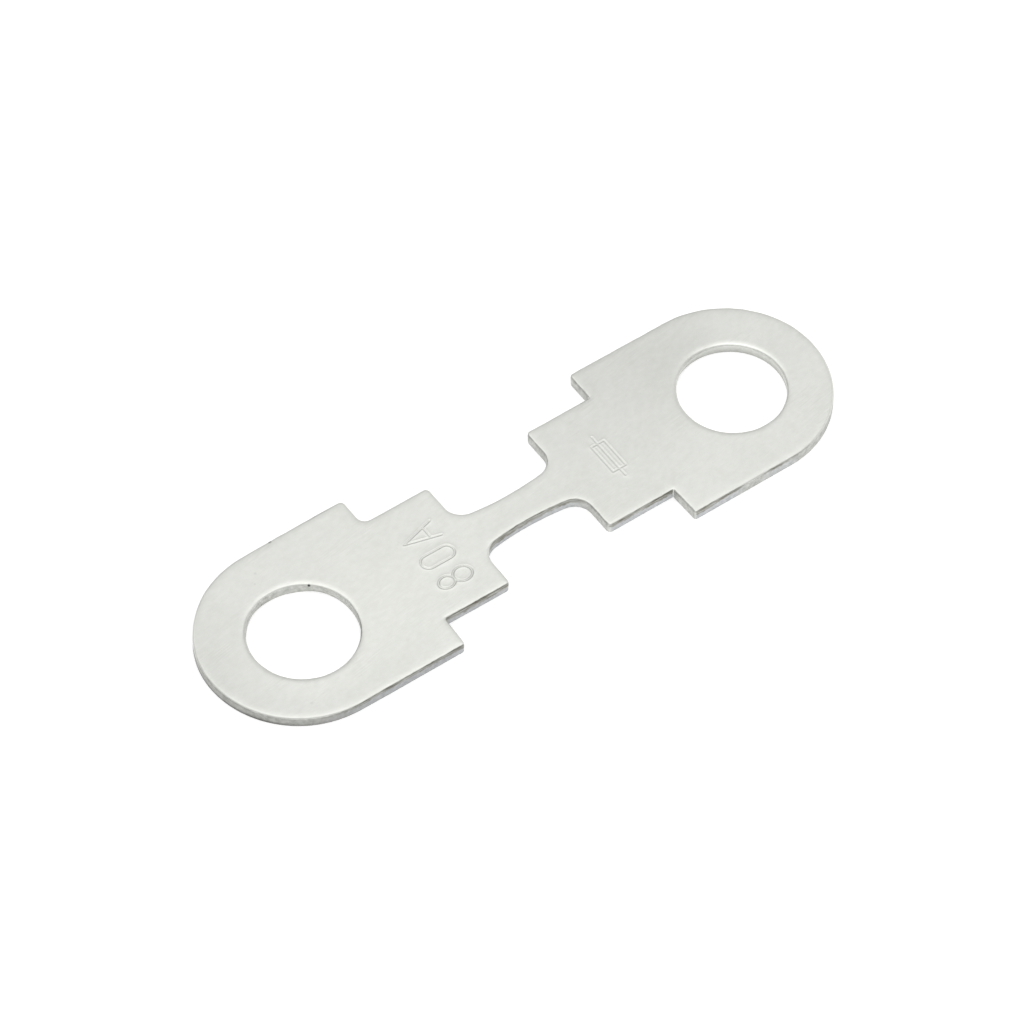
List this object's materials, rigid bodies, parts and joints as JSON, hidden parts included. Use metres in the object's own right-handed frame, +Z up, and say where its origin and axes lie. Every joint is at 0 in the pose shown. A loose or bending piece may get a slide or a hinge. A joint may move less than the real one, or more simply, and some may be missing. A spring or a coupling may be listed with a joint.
{
  "type": "bolt down strip fuse",
  "caption": "Flat one-piece metal strip fuse with a round-ended bolt tab at each end and a waisted melting link between stepped shoulders.",
  "frame": {"origin": "middle of the strip's underside, halfway between the two bolt holes", "axes": "+X along the strip through both bolt holes, +Z up out of the marked face with the rolled edges"},
  "size_m": [0.0588, 0.0172, 0.001],
  "materials": {
    "zinc": "satin rolled zinc sheet with fine grain and light handling scratches"
  },
  "bodies": {
    "root": {"fuse_strip": "zinc"}
  },
  "joints": []
}
